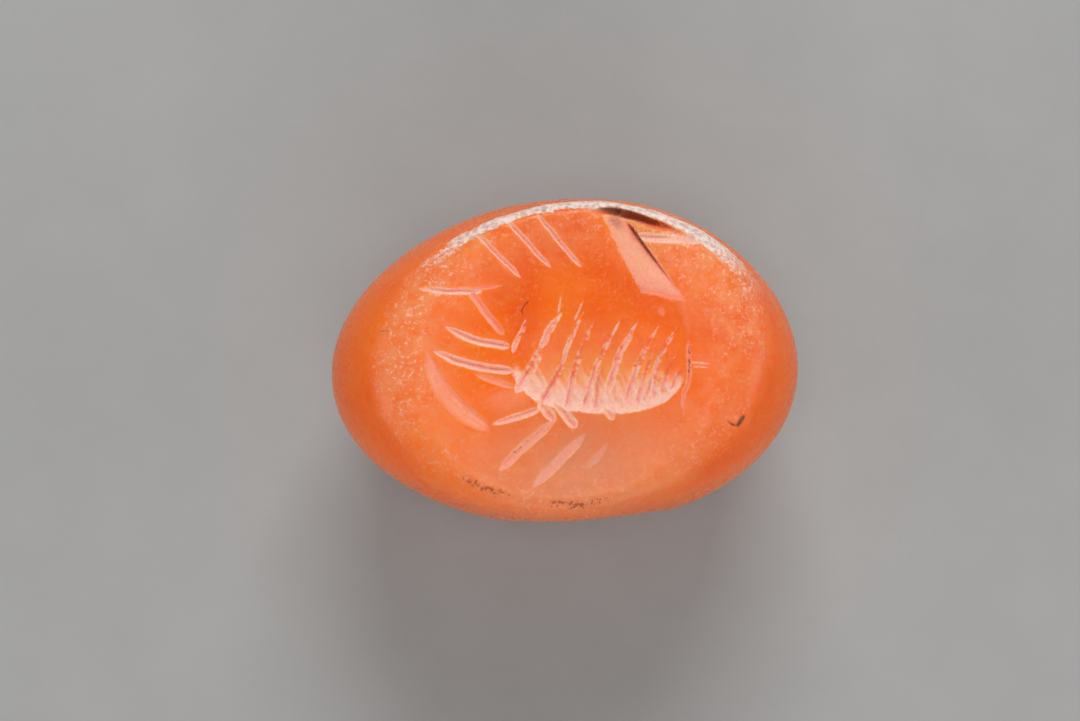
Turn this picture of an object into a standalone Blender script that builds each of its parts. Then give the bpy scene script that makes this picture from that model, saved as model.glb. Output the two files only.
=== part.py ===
"""Stamp seal: one oval carnelian with a flat engraved face, a domed back and a cord hole.

The stone lies on a small flat spot on its back, with the engraved face up and level.
+X runs along its long side, +Y across it and +Z out of the face. The origin is at the
height of the flat spot, under the middle of the stone's girth.
Sizes are in millimetres and angles in degrees. Places in the engraving are (x, y) on the face.
"""
import math

import bmesh
import bpy
from mathutils import Matrix, Vector

MM = 0.001

# The stone
HEIGHT = 12.0
GIRTH_LENGTH = 18.0
GIRTH_WIDTH = 12.65
GIRTH_HEIGHT = 7.0
FLAT_LENGTH = 4.8        # the flat spot that it lies on
FACE_LENGTH = 13.9
FACE_WIDTH = 11.1
FACE_TURN = 10.0         # the face's long axis turned off the stone's
FACE_SHIFT = (0.17, -0.19)
RIM_WEAR_ENDS = 1.2      # radius that wear has put on the face's edge at its ends
RIM_WEAR_SIDES = 0.36    # and along its sides
END_POWER = 1.75         # how late the ends draw in to the face, 1 being a straight slope
NEAR_POWER = 6.0         # the same for the -Y flank, which is nearly upright
FAR_POWER = 2.6          # the same for the +Y flank
GIRTH_LEAN = 8.0         # the girth rises towards -Y
UNEVEN = 0.012           # hand-cut unevenness of the girth, as a share of its radius
UNEVEN_AT = 78.0         # direction of the first of its three bulges

# The cord hole, which runs across the stone along Y
HOLE_DIAMETER = 4.4
MOUTH_DIAMETER = 7.0     # where the cord has worn its mouths wide
MOUTH_DEPTH = 1.7
HOLE_X = 0.85
HOLE_HEIGHT = 7.0

# The engraving: a scorpion with its head towards -X and its tail curled over towards +Y
LEG_WIDTH = 0.26
LEG_DEPTH = 0.25
FAR_LEGS = (-3.3, 4.5)         # outer end of the first of three legs
FAR_LEG_PITCH = (1.2, 0.27)
FAR_LEG_RUN = (1.68, -1.95)
NEAR_LEGS = (-0.55, -2.6)      # inner end of the first of three legs
NEAR_LEG_PITCH = (1.03, -0.42)
NEAR_LEG_RUN = (-2.05, -1.85)
NEAR_THIGHS = (-1.0, -1.5)     # inner end of the first of three thighs
NEAR_THIGH_PITCH = (1.0, 0.0)
NEAR_THIGH_RUN = (0.65, -1.25)
MOUTHPARTS = (-4.4, 0.8)
MOUTHPART_PITCH = (-0.5, -0.8)
MOUTHPART_RUN = (2.6, -0.65)
FAR_CLAW_TIP = (-5.36, 2.4)
FAR_CLAW_HEEL = (-2.8, 2.33)
FAR_ARM = ((-3.45, 2.2), (-2.45, 0.6))
NEAR_CLAW_CENTRE = (-0.6, 1.05)
NEAR_CLAW_RADIUS = 4.75
NEAR_CLAW_ARC = (193.0, 241.0)
NEAR_CLAW_WIDTH = 0.5
NEAR_CLAW_PIECES = 3
NEAR_CLAW_OVERLAP = 0.25       # how far each piece runs past its share of the arc
NEAR_ARM = ((-2.8, -2.8), (-1.15, -2.3))
BODY_CENTRE = (1.12, -0.6)     # middle of the oval body
BODY_LENGTH = 6.4
BODY_WIDTH = 3.6
BODY_TURN = -4.0
HOLLOW_SHARE = 0.64            # share of its width that its hollow takes, along its near edge
HOLLOW_DEPTH = 0.42
RIB_COUNT = 8
RIB_TURN = 66.0
RIB_WIDTH = 0.3
RIB_DEPTH = 0.5
RIB_FAR_LINE = (1.42, -0.15)   # height at x = 0 and slope of the line that the ribs reach up to
TAIL_ROOT = ((4.47, 0.15), (4.2, -2.7))
TAIL_LINK = ((4.55, 0.0), (4.3, 1.9))
TAIL_START = (3.6, 1.65)
TAIL_END = (1.9, 4.75)
TAIL_WIDTHS = (1.5, 1.0)
TAIL_DEPTH = 0.4
STING = ((2.7, 4.1), (5.2, 3.9))
RIM_CHIP = ((1.0, 5.15), (4.8, 4.15))
RIM_CHIP_WIDTH = 0.6
RIM_CHIP_DEPTH = 0.42
CUT_LIFT = 0.06          # centre of a cutter above the face, which slopes the cut's sides

# Facets
AROUND = 64
DOME_RINGS = 9
SIDE_RINGS = 9
WEAR_RINGS = 5
HOLE_SIDES = 40
MOUTH_STEPS = 7
CUT_SIDES = 12
HOLLOW_SIDES = 28
CUT_RINGS = 8


def clear_scene():
    for old in list(bpy.data.objects):
        bpy.data.objects.remove(old, do_unlink=True)


def new_collection(name):
    collection = bpy.data.collections.new(name)
    bpy.context.scene.collection.children.link(collection)
    return collection


def add_object(name, bm, collection):
    """Turn a bmesh in millimetres into an object in metres."""
    bmesh.ops.scale(bm, vec=(MM, MM, MM), verts=bm.verts)
    bmesh.ops.recalc_face_normals(bm, faces=bm.faces)
    mesh = bpy.data.meshes.new(name)
    bm.to_mesh(mesh)
    bm.free()
    obj = bpy.data.objects.new(name, mesh)
    collection.objects.link(obj)
    return obj


def as_cutter(obj):
    obj.hide_render = True
    obj.display_type = "WIRE"
    return obj


def stone_point(phi, height, inset=0.0):
    """Point of the stone's surface at a direction and a height, drawn in by inset."""
    rise = max(0.0, (height - GIRTH_HEIGHT) / (HEIGHT - GIRTH_HEIGHT))
    flat_share = FLAT_LENGTH / GIRTH_LENGTH
    dome_depth = GIRTH_HEIGHT / math.sqrt(1.0 - flat_share ** 2)
    drop = max(0.0, (GIRTH_HEIGHT - height) / dome_depth)
    dome = math.sqrt(1.0 - drop ** 2)
    flank_power = (NEAR_POWER + FAR_POWER) / 2 - (NEAR_POWER - FAR_POWER) / 2 * math.sin(phi)
    end_blend = rise ** END_POWER
    flank_blend = rise ** flank_power
    blend = (end_blend + flank_blend) / 2
    half_length = dome * (GIRTH_LENGTH + (FACE_LENGTH - GIRTH_LENGTH) * end_blend) / 2 - inset
    half_width = dome * (GIRTH_WIDTH + (FACE_WIDTH - GIRTH_WIDTH) * flank_blend) / 2 - inset
    bulge = 1.0 + (1.0 - blend) * UNEVEN * math.cos(3 * (phi - math.radians(UNEVEN_AT)))
    turn = math.radians(FACE_TURN) * blend
    along = half_length * math.cos(phi - turn) * bulge
    across = half_width * math.sin(phi - turn) * bulge
    x = along * math.cos(turn) - across * math.sin(turn) + FACE_SHIFT[0] * blend
    y = along * math.sin(turn) + across * math.cos(turn) + FACE_SHIFT[1] * blend
    lean = math.tan(math.radians(GIRTH_LEAN)) * math.sin(math.pi * height / HEIGHT)
    return Vector((x, y, height - lean * y))


def rim_wear(phi):
    """Radius of the worn edge of the face in a direction."""
    return RIM_WEAR_ENDS * math.cos(phi) ** 2 + RIM_WEAR_SIDES * math.sin(phi) ** 2


def stone_rings():
    """Outlines from the flat spot up over the girth and the worn edge to the face."""
    directions = [math.tau * i / AROUND for i in range(AROUND)]
    flat_angle = math.acos(FLAT_LENGTH / GIRTH_LENGTH)
    for k in range(DOME_RINGS):
        angle = flat_angle * (1.0 - k / DOME_RINGS)
        height = GIRTH_HEIGHT * (1.0 - math.sin(angle) / math.sin(flat_angle))
        yield [stone_point(phi, height) for phi in directions]
    for k in range(SIDE_RINGS):
        climb = math.sin(math.pi / 2 * k / SIDE_RINGS)
        rises = [HEIGHT - rim_wear(phi) - GIRTH_HEIGHT for phi in directions]
        yield [stone_point(phi, GIRTH_HEIGHT + rise * climb) for phi, rise in zip(directions, rises)]
    for k in range(WEAR_RINGS + 1):
        angle = math.pi / 2 * k / WEAR_RINGS
        drop, inset = 1.0 - math.sin(angle), 1.0 - math.cos(angle)
        wears = [rim_wear(phi) for phi in directions]
        yield [stone_point(phi, HEIGHT - wear * drop, wear * inset) for phi, wear in zip(directions, wears)]


def make_stone(collection):
    """Loft between the round girth and the turned oval of the face."""
    bm = bmesh.new()
    rings = [[bm.verts.new(point) for point in ring] for ring in stone_rings()]
    for lower, upper in zip(rings, rings[1:]):
        for i in range(AROUND):
            j = (i + 1) % AROUND
            bm.faces.new((lower[i], lower[j], upper[j], upper[i]))
    bm.faces.new(reversed(rings[0]))
    bm.faces.new(rings[-1])
    return add_object("seal_stone", bm, collection)


def hole_radius(depth):
    """Radius of the cord hole at a depth inside the widest part of the flank."""
    worn = max(0.0, 1.0 - depth / MOUTH_DEPTH)
    return (HOLE_DIAMETER + (MOUTH_DIAMETER - HOLE_DIAMETER) * worn ** 2) / 2


def make_hole_cutter(collection):
    """Bore with trumpet mouths, turned about Z and laid along Y."""
    reach = 0.6
    depths = [MOUTH_DEPTH * k / MOUTH_STEPS for k in range(MOUTH_STEPS + 1)]
    upper = [(hole_radius(d), GIRTH_WIDTH / 2 - d) for d in [-reach] + depths]
    lower = [(radius, -along) for radius, along in reversed(upper)]
    end = GIRTH_WIDTH / 2 + reach
    profile = [(0.0, end)] + upper + lower + [(0.0, -end)]
    bm = bmesh.new()
    verts = [bm.verts.new((radius, 0.0, along)) for radius, along in profile]
    for a, b in zip(verts, verts[1:]):
        bm.edges.new((a, b))
    cutter = as_cutter(add_object("cord_hole_cutter", bm, collection))
    screw = cutter.modifiers.new("Turn", "SCREW")
    screw.axis = "Z"
    screw.steps = HOLE_SIDES
    screw.render_steps = HOLE_SIDES
    screw.use_merge_vertices = True
    screw.merge_threshold = 0.000001
    cutter.location = (HOLE_X * MM, 0.0, HOLE_HEIGHT * MM)
    cutter.rotation_euler = (math.radians(-90.0), 0.0, 0.0)
    return cutter


def wheel_cut(name, start, end, width, depth, collection, sides=CUT_SIDES):
    """Boat-shaped cut from one point on the face to another, as an engraver's wheel leaves."""
    start, end = Vector(start), Vector(end)
    run = end - start
    middle = (start + end) / 2
    bm = bmesh.new()
    bmesh.ops.create_uvsphere(bm, u_segments=sides, v_segments=CUT_RINGS, radius=1.0)
    size = Matrix.Diagonal((run.length / 2, width / 2, depth + CUT_LIFT, 1.0))
    turn = Matrix.Rotation(math.atan2(run.y, run.x), 4, "Z")
    place = Matrix.Translation((middle.x, middle.y, HEIGHT + CUT_LIFT))
    bmesh.ops.transform(bm, matrix=place @ turn @ size, verts=bm.verts)
    return as_cutter(add_object(name, bm, collection))


def step(start, pitch, k):
    return (start[0] + pitch[0] * k, start[1] + pitch[1] * k)


def cut_legs(collection):
    """Three legs on each side, three thighs and the two mouthparts, each set in step."""
    sets = (
        ("far_leg", FAR_LEGS, FAR_LEG_PITCH, FAR_LEG_RUN, 3),
        ("near_leg", NEAR_LEGS, NEAR_LEG_PITCH, NEAR_LEG_RUN, 3),
        ("near_thigh", NEAR_THIGHS, NEAR_THIGH_PITCH, NEAR_THIGH_RUN, 3),
        ("mouthpart", MOUTHPARTS, MOUTHPART_PITCH, MOUTHPART_RUN, 2),
    )
    for name, first, pitch, run, count in sets:
        for k in range(count):
            start = step(first, pitch, k)
            wheel_cut(f"{name}_{k + 1}", start, step(start, run, 1), LEG_WIDTH, LEG_DEPTH, collection)


def cut_claws(collection):
    """A straight claw on the far side and a curved one on the near side."""
    wheel_cut("far_claw", FAR_CLAW_TIP, FAR_CLAW_HEEL, LEG_WIDTH, LEG_DEPTH, collection)
    wheel_cut("far_arm", *FAR_ARM, LEG_WIDTH, LEG_DEPTH, collection)
    wheel_cut("near_arm", *NEAR_ARM, LEG_WIDTH, LEG_DEPTH, collection)
    first, last = (math.radians(angle) for angle in NEAR_CLAW_ARC)
    span = (last - first) / NEAR_CLAW_PIECES
    for k in range(NEAR_CLAW_PIECES):
        ends = []
        for angle in (first + span * (k - NEAR_CLAW_OVERLAP), first + span * (k + 1 + NEAR_CLAW_OVERLAP)):
            x = NEAR_CLAW_CENTRE[0] + NEAR_CLAW_RADIUS * math.cos(angle)
            y = NEAR_CLAW_CENTRE[1] + NEAR_CLAW_RADIUS * math.sin(angle)
            ends.append((x, y))
        wheel_cut(f"near_claw_{k + 1}", *ends, NEAR_CLAW_WIDTH, LEG_DEPTH, collection)


def cut_body(collection):
    """A hollow along the body's near edge, and slanting ribs that reach up from that edge."""
    centre = Vector(BODY_CENTRE)
    turn = math.radians(BODY_TURN)
    along = Vector((math.cos(turn), math.sin(turn)))
    across = Vector((-along.y, along.x))
    half_length, half_width = BODY_LENGTH / 2, BODY_WIDTH / 2
    hollow_width = BODY_WIDTH * HOLLOW_SHARE
    middle = centre - across * (half_width - hollow_width / 2)
    start, end = middle - along * half_length, middle + along * half_length
    wheel_cut("body_hollow", start, end, hollow_width, HOLLOW_DEPTH, collection, HOLLOW_SIDES)
    slant = Vector((math.cos(math.radians(RIB_TURN)), math.sin(math.radians(RIB_TURN))))
    far_height, far_slope = RIB_FAR_LINE
    for k in range(RIB_COUNT):
        place = 2.0 * (k + 0.5) / RIB_COUNT - 1.0
        fullness = math.sqrt(1.0 - place ** 2)
        near_end = centre + along * (half_length * place) - across * (half_width * fullness)
        reach = (far_height + far_slope * near_end.x - near_end.y) / (slant.y - far_slope * slant.x)
        far_end = near_end + slant * reach
        wheel_cut(f"rib_{k + 1}", near_end, far_end, RIB_WIDTH, RIB_DEPTH, collection)


def cut_tail(collection):
    """Links of the tail, its broad end with a sloping floor, and the sting beside it."""
    wheel_cut("tail_root", *TAIL_ROOT, LEG_WIDTH, LEG_DEPTH, collection)
    wheel_cut("tail_link", *TAIL_LINK, LEG_WIDTH, LEG_DEPTH, collection)
    wheel_cut("sting", *STING, LEG_WIDTH, LEG_DEPTH, collection)
    start, end = Vector(TAIL_START), Vector(TAIL_END)
    run = (end - start).normalized()
    side = Vector((run.y, -run.x))
    bm = bmesh.new()
    bmesh.ops.create_cube(bm, size=1.0)
    for vert in bm.verts:
        # The floor starts at the face on the left edge and is deepest under the right one
        at_end, at_right, at_top = (co > 0.0 for co in vert.co)
        across = TAIL_WIDTHS[at_end] / 2 * (1 if at_right else -1)
        place = (end if at_end else start) + side * across
        floor = TAIL_DEPTH if at_right else CUT_LIFT
        vert.co = (place.x, place.y, HEIGHT + TAIL_DEPTH if at_top else HEIGHT - floor)
    as_cutter(add_object("tail_end", bm, collection))


def cut_rim_chip(collection):
    """Long chip under the far rim, beside the end of the tail."""
    wheel_cut("rim_chip", *RIM_CHIP, RIM_CHIP_WIDTH, RIM_CHIP_DEPTH, collection)


def carnelian():
    """Translucent orange chalcedony with a soft polish."""
    material = bpy.data.materials.new("carnelian")
    material.use_nodes = True
    shader = material.node_tree.nodes["Principled BSDF"]
    shader.inputs["Base Color"].default_value = (0.86, 0.22, 0.05, 1.0)
    shader.inputs["Roughness"].default_value = 0.35
    shader.inputs["Metallic"].default_value = 0.0
    shader.inputs["Subsurface Weight"].default_value = 0.5
    shader.inputs["Subsurface Radius"].default_value = (0.004, 0.0012, 0.0005)
    material.diffuse_color = (0.86, 0.22, 0.05, 1.0)
    return material


def main():
    clear_scene()
    seal = new_collection("stamp_seal")
    hole = new_collection("hole_cutter")
    engraving = new_collection("engraving_cutters")
    stone = make_stone(seal)
    stone.data.materials.append(carnelian())
    stone.data.shade_smooth()
    stone.data.set_sharp_from_angle(angle=math.radians(35.0))

    bore = stone.modifiers.new("Cord hole", "BOOLEAN")
    bore.operation = "DIFFERENCE"
    bore.object = make_hole_cutter(hole)

    cut_legs(engraving)
    cut_claws(engraving)
    cut_body(engraving)
    cut_tail(engraving)
    cut_rim_chip(engraving)
    carve = stone.modifiers.new("Engraving", "BOOLEAN")
    carve.operation = "DIFFERENCE"
    carve.operand_type = "COLLECTION"
    carve.collection = engraving


main()
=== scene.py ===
"""Looks of the stamp seal: a carved, drilled and worn carnelian that lies on a plain pale floor.

The stone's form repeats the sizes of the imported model, in millimetres, and its finished mesh is
scaled to metres. Places in the engraving are (x, y) in millimetres on the face, seen from above
with +X to the right. Depths are measured down from the face.
"""

import itertools
import math
from typing import NamedTuple

import bpy
import numpy as np
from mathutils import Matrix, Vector
from mathutils.kdtree import KDTree


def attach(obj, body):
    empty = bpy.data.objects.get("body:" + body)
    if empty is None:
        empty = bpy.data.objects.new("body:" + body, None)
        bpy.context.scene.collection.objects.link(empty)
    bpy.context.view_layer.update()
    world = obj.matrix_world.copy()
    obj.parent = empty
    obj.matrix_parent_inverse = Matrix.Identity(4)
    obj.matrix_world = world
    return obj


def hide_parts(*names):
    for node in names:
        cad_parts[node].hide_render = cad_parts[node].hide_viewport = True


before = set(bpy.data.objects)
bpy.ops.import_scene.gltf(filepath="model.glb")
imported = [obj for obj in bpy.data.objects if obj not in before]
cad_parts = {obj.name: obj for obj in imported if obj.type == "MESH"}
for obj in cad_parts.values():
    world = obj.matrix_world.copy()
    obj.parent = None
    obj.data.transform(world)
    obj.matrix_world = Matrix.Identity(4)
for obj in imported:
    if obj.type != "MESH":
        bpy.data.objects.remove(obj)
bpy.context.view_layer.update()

MM = 0.001

# The stone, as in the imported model
HEIGHT = 12.0
GIRTH_LENGTH = 18.0
GIRTH_WIDTH = 12.65
GIRTH_HEIGHT = 7.0
FLAT_LENGTH = 4.8
FACE_LENGTH = 13.9
FACE_WIDTH = 11.1
FACE_TURN = math.radians(10.0)
FACE_SHIFT = (0.17, -0.19)
END_POWER = 1.75
NEAR_POWER = 6.0
FAR_POWER = 2.6
GIRTH_LEAN = math.radians(8.0)
UNEVEN = 0.012
UNEVEN_AT = math.radians(78.0)

# The cord hole
HOLE_DIAMETER = 4.4
MOUTH_DIAMETER = 7.0
MOUTH_DEPTH = 1.7
HOLE_X = 0.85
HOLE_HEIGHT = 7.0
DRILL_REACH = 0.6        # how far the cutter stands out of each flank
DRILL_RINGS = 0.02       # height of the rings that the drill has left
DRILL_RIDGE = 0.06       # ridge where the borings from both flanks meet
MOUTH_WEAR = 0.6         # how far from its edge each mouth is worn smooth

# Wear
RIM_WEAR_ENDS = 1.2      # radius that wear has put on the face's edge at the ends
RIM_WEAR_NEAR = 0.4      # at the near edge
RIM_WEAR_FAR = 0.32      # and at the far edge, the crispest
RIM_DENTS = 0.2          # share by which dents vary it
RIM_CHIPPING = 0.15      # and by which chips vary it at the far edge
CREST_FALL = 1.3         # how much further down the flank the rim is bruised at the ends
CROWN = 0.07             # how far the face falls from its middle to its edge
FACE_WAVE = 0.012        # hand-ground unevenness of the face
SKIN_LOSS = 0.008        # skin that wear has taken off the flanks everywhere
SKIN_DENTS = 0.005       # and up to this much more in shallow dents

# Mesh
FACE_CELLS = 360
WEAR_RINGS = 10
SIDE_RINGS = 44
DOME_RINGS = 44
BORE_SIDES = 180
BORE_STEPS = 90
MOUTH_STEPS = 24
TRIANGLES = 190000
PROTECTED_DEPTH = 0.004  # carving deeper than this keeps every vertex when the mesh is thinned

# Camera
LENS = 100.0
SENSOR = 36.0
CAMERA_TURN = math.radians(-1.65)
CAMERA_RISE = math.radians(83.0)
CAMERA_DISTANCE = 115.9
CAMERA_TARGET = (-1.005, 0.211, 7.0)

NOISE_PERIOD = 64


def smooth(value, low=0.0, high=1.0):
    """0 below low, 1 above high, with a smooth turn between."""
    part = np.clip((value - low) / (high - low), 0.0, 1.0)
    return part * part * (3.0 - 2.0 * part)


def value_noise(points, cell, seed):
    """Smooth noise from -1 to 1 at points in two or three dimensions."""
    size = points.shape[1]
    table = np.random.default_rng(seed).uniform(-1.0, 1.0, (NOISE_PERIOD,) * size)
    place = points / cell
    corner = np.floor(place).astype(int)
    part = smooth(place - corner)
    total = np.zeros(len(points))
    for offset in itertools.product((0, 1), repeat=size):
        weight = np.prod(np.where(offset, part, 1.0 - part), axis=1)
        total += weight * table[tuple(((corner + offset) % NOISE_PERIOD).T)]
    return total


def rough_noise(points, cell, seed, octaves):
    """Layers of value noise, each half as large and half as strong as the last."""
    layers = (value_noise(points, cell / 2 ** k, seed + k) / 2 ** k for k in range(octaves))
    return sum(layers)


# The engraving

class Stroke(NamedTuple):
    """A cut of the engraver's wheel along a path.

    skew moves its deepest line, -1 to the left edge and 1 to the right one; section is 1 for
    a V and 2 for a round floor; ends are the shares of its length over which it runs out;
    frost is how white its floor is, and bare is how much of that is missing, in patches, at
    its start.
    """
    path: tuple
    width: float
    depth: float
    skew: float = 0.0
    section: float = 1.5
    ends: tuple = (0.35, 0.35)
    frost: float = 0.8
    bare: float = 0.0


WIDTH_POWER = 0.7        # how a cut narrows as it gets shallower
GRAIN = 0.2              # share by which the wheel's streaks vary a cut's depth
GRAIN_CELL = 0.055       # width of a streak
GRAIN_STRETCH = 9.0      # length of a streak in widths
GRAIN_WIDTH = 0.3        # cuts wider than this show the streaks less
LINE_WOBBLE = 0.016      # unsteadiness of the cuts' outlines
BODY_WOBBLE = 0.028      # and of the body's, which is coarser work
BODY_RAGGED = 0.02       # raggedness on top of it

FAR_LEG_WIDTH = 0.21
FAR_LEG_DEPTH = 0.18
FAR_LEGS = (
    ((-3.37, 4.59), (-1.64, 2.72)),
    ((-2.13, 4.97), (-0.51, 3.05)),
    ((-0.98, 5.12), (0.62, 3.03)),
)
NEAR_LEGS = (
    Stroke(((-0.5, -2.62), (-1.59, -3.47), (-2.66, -4.46)), 0.4, 0.16, 0.1, 1.6, (0.3, 0.2), 0.6),
    Stroke(((0.6, -3.15), (-0.39, -4.1), (-1.5, -5.12)), 0.42, 0.13, 0.1, 1.8, (0.3, 0.3), 0.55),
    Stroke(((1.45, -3.5), (0.95, -4.05), (0.45, -4.5)), 0.34, 0.06, 0.0, 1.8, (0.5, 0.5), 0.35),
)
NEAR_THIGHS = (
    Stroke(((-1.1, -1.5), (-0.92, -2.1), (-0.5, -2.72)), 0.42, 0.2, 0.1, 1.3, (0.3, 0.3), 0.8),
    Stroke(((-0.66, -1.68), (-0.25, -2.3), (0.28, -2.93)), 0.4, 0.26, 0.25, 1.2, (0.2, 0.15), 1.0),
    Stroke(((1.02, -1.5), (1.2, -1.95), (1.66, -2.7)), 0.38, 0.24, 0.25, 1.2, (0.3, 0.2), 0.85),
)
MOUTHPARTS = (
    Stroke(((-4.52, 0.98), (-3.48, 0.46), (-2.12, 0.15)), 0.32, 0.2, -0.15, 1.3, (0.3, 0.1), 1.0),
    Stroke(((-5.02, 0.08), (-3.58, -0.48), (-1.97, -0.77)), 0.35, 0.22, -0.15, 1.3, (0.3, 0.12), 1.0),
)
FAR_CLAW = (
    Stroke(((-5.45, 2.44), (-4.3, 2.3), (-3.1, 2.24)), 0.26, 0.17, -0.25, 1.3, (0.35, 0.15), 1.0),
    Stroke(((-4.4, 2.42), (-3.3, 2.36), (-2.2, 2.45)), 0.13, 0.09, 0.0, 1.3, (0.5, 0.6), 0.6),
    Stroke(((-3.55, 2.3), (-2.97, 1.43), (-2.32, 0.58)), 0.3, 0.16, -0.2, 1.4, (0.1, 0.15), 0.55),
)
NEAR_CLAW = (
    Stroke(((-5.3, 0.25), (-4.93, -0.95), (-4.15, -2.0), (-2.85, -3.05)),
           0.74, 0.14, -0.6, 1.5, (0.45, 0.3), 0.4),
)
NEAR_ARM = (
    Stroke(((-2.9, -2.72), (-1.97, -2.48), (-1.0, -2.2)), 0.3, 0.16, -0.4, 1.2, (0.4, 0.2), 0.85),
    Stroke(((-3.5, -2.1), (-2.4, -2.0), (-1.2, -1.8)), 1.3, 0.06, -0.4, 1.8, (0.5, 0.3), 0.6),
    Stroke(((-3.6, -0.78), (-2.7, -1.1), (-1.8, -1.45)), 0.3, 0.06, 0.0, 1.8, (0.5, 0.3), 0.35),
)

# The body is a shallow hollow with a steep near wall, crossed by slanting ribs
HOLLOW_CENTRE = (1.12, -0.62)
HOLLOW_HALF = (3.3, 1.86)
HOLLOW_TURN = math.radians(-4.0)
HOLLOW_DEPTH = 0.46
HOLLOW_WALL = 0.14       # share of its width taken by the near wall
HOLLOW_ENDS = 0.4        # share of its half length over which its ends rise

# Each rib's far end, near end, bow to the left, width, depth and frost at its far end
RIBS = (
    ((-1.42, 1.3), (-2.05, -0.1), 0.0, 0.22, 0.09, 0.45),
    ((-0.02, 2.6), (-0.35, 1.3), -0.05, 0.1, 0.03, 0.2),
    ((-0.12, 1.45), (-1.0, 0.05), 0.06, 0.28, 0.15, 0.75),
    ((-0.75, 0.5), (-1.95, -1.62), -0.04, 0.42, 0.2, 0.3),
    ((0.8, 2.5), (0.3, 1.0), -0.05, 0.1, 0.03, 0.2),
    ((0.76, 1.5), (-0.24, -0.6), 0.08, 0.2, 0.1, 0.5),
    ((0.1, 0.1), (-1.12, -2.22), -0.04, 0.4, 0.2, 0.3),
    ((1.12, 1.25), (-0.16, -2.44), 0.16, 0.28, 0.18, 0.35),
    ((2.06, 1.15), (0.5, -2.4), 0.18, 0.26, 0.18, 0.4),
    ((1.3, -0.6), (1.0, -2.38), 0.04, 0.44, 0.16, 0.2),
    ((2.72, 1.05), (1.42, -1.75), 0.16, 0.3, 0.19, 0.7),
    ((3.52, 0.95), (2.1, -2.12), 0.18, 0.26, 0.19, 0.45),
    ((3.3, 0.1), (2.5, -2.16), 0.06, 0.2, 0.17, 0.3),
    ((4.14, 0.8), (2.82, -2.08), 0.16, 0.25, 0.19, 0.5),
    ((3.66, 0.1), (3.12, -1.98), 0.08, 0.2, 0.17, 0.3),
    ((3.98, -0.3), (3.42, -1.84), 0.06, 0.22, 0.17, 0.3),
    ((4.3, -0.8), (3.78, -1.62), 0.04, 0.22, 0.15, 0.3),
)
RIB_RUN_IN = 0.6         # share of its length over which a rib deepens
RIB_SHADE_LINE = 0.4           # painted shade: how far the frost is taken off along its deepest line, leaving it dark

TAIL_LEFT = ((1.42, 4.95), (2.8, 1.93))
TAIL_RIGHT = ((2.45, 4.75), (4.62, 1.5))
TAIL_END = ((2.8, 1.98), (4.62, 1.5))
TAIL_STEP = 0.05         # depth of its left edge
TAIL_DEPTH = 0.38
TAIL_RUN_OUT = 2.2       # length over which its floor rises at its end
TAIL_WALL = 0.09         # width of its steep right wall
TAIL_FROST = 0.5
TAIL_LINKS = (
    Stroke(((4.5, 0.25), (4.47, -1.15), (4.25, -1.85), (4.21, -2.75)),
           0.2, 0.1, 0.1, 1.4, (0.2, 0.4), 0.45),
    Stroke(((4.52, 0.05), (4.42, 1.0), (4.15, 1.95)), 0.34, 0.025, 0.0, 1.9, (0.4, 0.4), 0.12),
    Stroke(((4.55, -0.62), (5.3, -0.68)), 0.09, 0.06, 0.0, 1.3, (0.3, 0.4), 0.9),
    Stroke(((4.6, -0.78), (5.2, -0.83)), 0.08, 0.05, 0.0, 1.3, (0.3, 0.4), 0.8),
    Stroke(((3.4, 1.5), (3.66, 1.1)), 0.36, 0.03, 0.0, 1.9, (0.5, 0.5), 0.25),
)
STING = (
    Stroke(((2.62, 4.14), (3.9, 4.02), (5.3, 3.92)), 0.38, 0.2, -0.45, 1.2, (0.08, 0.3), 1.0),
)
RIM_HOLLOW = (
    Stroke(((0.9, 5.16), (2.1, 5.1), (3.2, 4.74), (4.7, 4.12)), 0.5, 0.42, 0.5, 1.2, (0.4, 0.4), 0.1),
)
SMALL_FLAKES = (
    Stroke(((5.82, -2.78), (6.0, -2.92), (6.25, -2.9), (6.52, -2.5)),
           0.14, 0.07, 0.3, 1.3, (0.4, 0.4), 0.0),
    Stroke(((-6.95, 1.05), (-6.8, 0.9), (-6.6, 0.98)), 0.11, 0.05, 0.0, 1.3, (0.4, 0.4), 0.2),
    Stroke(((7.02, 0.6), (7.04, 0.2), (7.0, -0.2)), 0.1, 0.05, 0.0, 1.3, (0.4, 0.4), 0.9),
    Stroke(((-1.32, 1.9), (-1.62, 1.55), (-1.62, 1.25)), 0.13, 0.07, 0.0, 1.3, (0.3, 0.3), 0.1),
)


def curve_through(points, per_span=8):
    """Smooth polyline through a few points."""
    points = np.array(points, dtype=float)
    if len(points) == 2:
        return points
    padded = np.vstack((2 * points[0] - points[1], points, 2 * points[-1] - points[-2]))
    result = [points[0]]
    for before, start, end, after in zip(padded, padded[1:], padded[2:], padded[3:]):
        for k in range(1, per_span + 1):
            t = k / per_span
            slope_in, slope_out = (end - before) / 2, (after - start) / 2
            result.append(
                (2 * t ** 3 - 3 * t ** 2 + 1) * start + (t ** 3 - 2 * t ** 2 + t) * slope_in
                + (3 * t ** 2 - 2 * t ** 3) * end + (t ** 3 - t ** 2) * slope_out)
    return np.array(result)


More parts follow.
